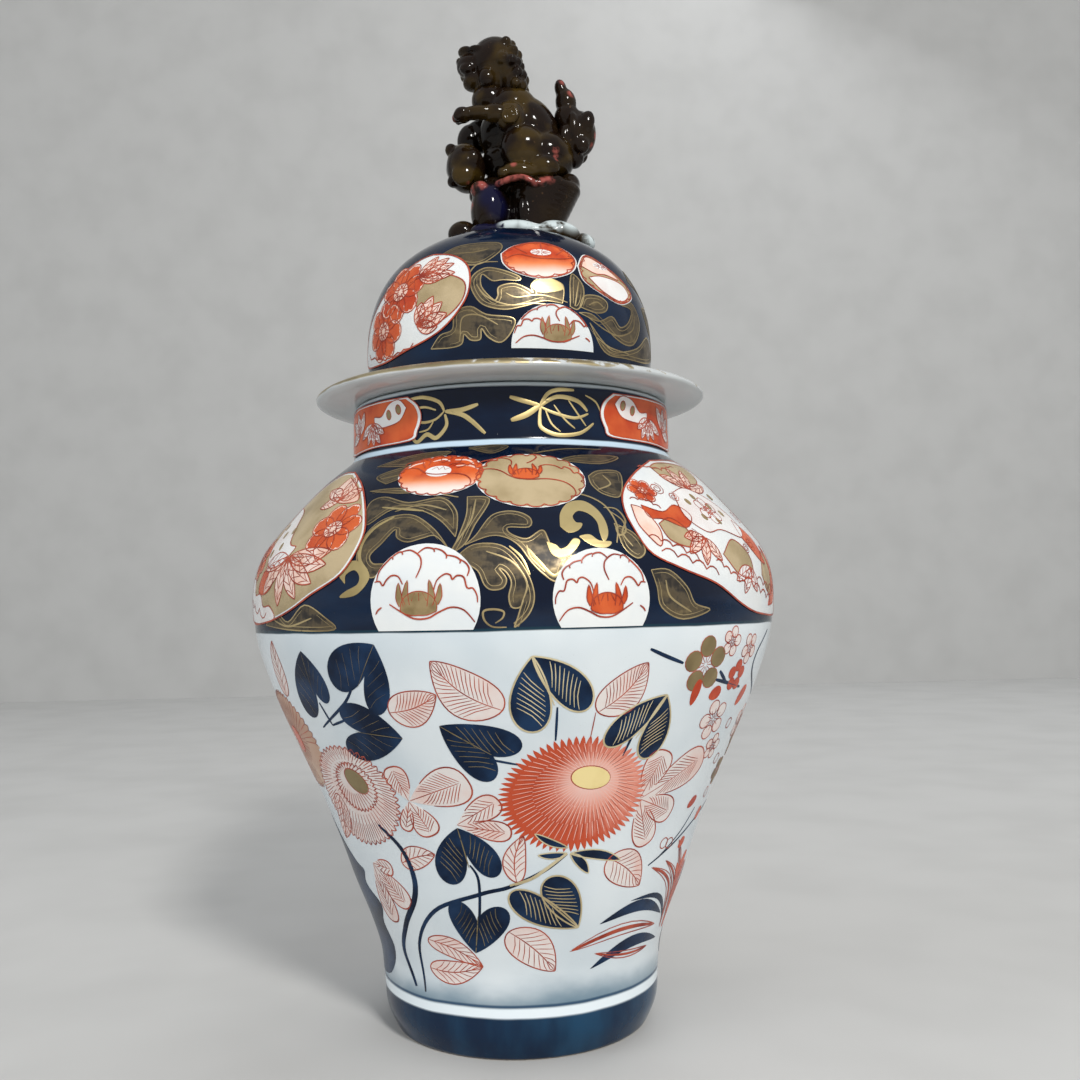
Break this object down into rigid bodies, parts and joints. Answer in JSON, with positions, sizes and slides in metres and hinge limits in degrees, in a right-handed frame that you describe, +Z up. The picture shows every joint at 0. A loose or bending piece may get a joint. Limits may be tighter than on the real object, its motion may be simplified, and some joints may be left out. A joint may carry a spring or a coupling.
{
  "type": "ginger jar",
  "caption": "Covered porcelain baluster jar on a foot ring, with a painted body, a domed wide-brimmed lid that lifts off, and a modelled guardian lion on rockwork as finial.",
  "frame": {"origin": "centre of the foot ring, on the surface the jar stands on", "axes": "+Z up the jar's axis, -Y towards the viewer of the painted front, with the lion facing -X"},
  "size_m": [0.1834, 0.1834, 0.3559],
  "materials": {
    "painted_body": "glossy bluish-white porcelain glaze with underglaze navy, iron-red enamel and worn gilding",
    "painted_lid": "glossy navy underglaze ground with painted reserves, gilt scrolls and a plain glazed brim",
    "plain_glaze": "plain off-white porcelain glaze",
    "rock_glaze": "glossy dark brown glaze with worn red edges",
    "lion_glaze": "glossy dark brown glaze with olive lights and worn red edges"
  },
  "bodies": {
    "jar": {"jar_body": "painted_body"},
    "lid": {"lid": "painted_lid", "lid_collar": "plain_glaze", "finial_base": "rock_glaze", "finial_rockwork": "rock_glaze", "lion_body": "lion_glaze", "lion_head": "lion_glaze", "lion_tail": "lion_glaze", "lion_ball": "lion_glaze", "lion_foreleg_near": "lion_glaze", "lion_foreleg_far": "lion_glaze"}
  },
  "joints": [
    {"name": "lid_lift", "type": "slide", "parent": "jar", "child": "lid", "axis": [0, 0, 1], "range_m": [0, 0.08]}
  ]
}
